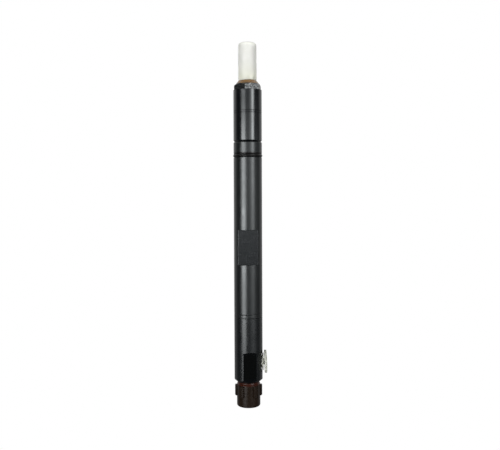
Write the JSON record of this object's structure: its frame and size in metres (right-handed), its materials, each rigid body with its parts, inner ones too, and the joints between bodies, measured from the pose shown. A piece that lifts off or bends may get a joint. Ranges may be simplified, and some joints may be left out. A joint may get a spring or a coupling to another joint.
{
  "type": "digital ph meter",
  "caption": "Slim probe-type pH meter: black barrel with wrench flats and display window, screwed sensor head with hexagon, milky tip cap, ribbed brown battery cap and side push button.",
  "frame": {"origin": "on the probe axis, at the centre of the flat base of the battery cap", "axes": "+Z along the probe from the battery cap to the sensing tip; +X out of the push button; the display window faces -Y, turned 7.8 degrees towards +X"},
  "size_m": [0.0269, 0.0226, 0.2823],
  "materials": {
    "satin_black": "turned and bead-finished black acetal, satin",
    "gloss_black": "turned and polished black acetal",
    "smoked_window": "smoked acrylic, polished",
    "display_glass": "display glass, off",
    "black_rubber": "moulded nitrile, dull",
    "flex_film": "orange polyimide film",
    "board_green": "solder mask",
    "chip_black": "moulded package",
    "plated_steel": "nickel plated",
    "ceramic_white": "sintered ceramic or PTFE",
    "component_tan": "small ceramic components",
    "ivory_plastic": "moulded nylon",
    "dark_plastic": "moulded ABS, dark grey",
    "clear_silicone": "translucent silicone rubber",
    "gold_contact": "gold plated",
    "lead_cover": "silicone lead insulation",
    "amber_plastic": "amber polyetherimide, glossy",
    "bulb_glass": "blown pH glass",
    "milky_plastic": "milky polyethylene",
    "sponge": "cellulose sponge",
    "cell_jacket": "printed jacket without any text",
    "brown_plastic": "dark amber-brown moulded plastic, glossy"
  },
  "bodies": {
    "barrel": {"barrel_tube": "satin_black", "foot_housing": "satin_black", "spacer_ring": "satin_black", "barrel_seal": "black_rubber", "joint_seal": "black_rubber", "display_window": "smoked_window", "display_panel": "display_glass", "display_flex": "flex_film", "main_board": "board_green", "processor_chip": "chip_black", "amplifier_can": "plated_steel", "radio_antenna": "ceramic_white", "small_parts": "component_tan", "board_connector": "ivory_plastic", "board_carrier": "dark_plastic", "carrier_screws": "plated_steel", "button_board": "board_green", "switch_body": "chip_black", "button_flex": "flex_film", "button_collar": "clear_silicone", "battery_tube": "ivory_plastic", "contact_block": "ivory_plastic", "positive_contact": "gold_contact", "battery_lead": "lead_cover", "ground_strip": "gold_contact", "signal_leads": "lead_cover", "pin_block": "ivory_plastic", "spring_pins": "gold_contact"},
    "head_joint": {"head_seal": "black_rubber"},
    "head": {"head_sleeve": "gloss_black", "sensor_body": "amber_plastic", "glass_bulb": "bulb_glass", "silver_wire": "plated_steel", "reference_junction": "ceramic_white", "reference_wire": "plated_steel", "temperature_probe": "plated_steel", "potting_plug": "dark_plastic", "sensor_seal": "black_rubber", "contact_disc": "board_green", "contact_rings": "gold_contact"},
    "wet_cap": {"wetting_cap": "milky_plastic", "storage_sponge": "sponge"},
    "cap_joint": {"cap_seal": "black_rubber"},
    "battery_cap": {"foot_cap": "brown_plastic", "cap_contact": "plated_steel", "cap_spring": "plated_steel", "battery_cell": "cell_jacket"},
    "button": {"button_pad": "clear_silicone", "switch_plunger": "ceramic_white"}
  },
  "joints": [
    {"name": "head_lift", "type": "slide", "parent": "barrel", "child": "head_joint", "axis": [0, 0, 1], "range_m": [0, 0.009]},
    {"name": "head_turn", "type": "hinge", "parent": "head_joint", "child": "head", "pos_m": [0, 0, 0.2064], "axis": [0, 0, 1], "range_deg": [0, 2160]},
    {"name": "wet_cap_pull", "type": "slide", "parent": "head", "child": "wet_cap", "axis": [0, 0, 1], "range_m": [0, 0.03]},
    {"name": "cap_drop", "type": "slide", "parent": "barrel", "child": "cap_joint", "axis": [0, 0, -1], "range_m": [0, 0.009]},
    {"name": "cap_turn", "type": "hinge", "parent": "cap_joint", "child": "battery_cap", "pos_m": [0, 0, 0.0193], "axis": [0, 0, -1], "range_deg": [0, 2160]},
    {"name": "button_press", "type": "slide", "parent": "barrel", "child": "button", "axis": [-1, 0, 0], "range_m": [0, 0.0003], "stiffness_N_per_m": 200, "springref_m": -0.002}
  ],
  "couplings": [
    {"joint": "head_turn", "follows": "head_lift", "rad_per_m": 4188.8},
    {"joint": "cap_turn", "follows": "cap_drop", "rad_per_m": 4188.8}
  ]
}
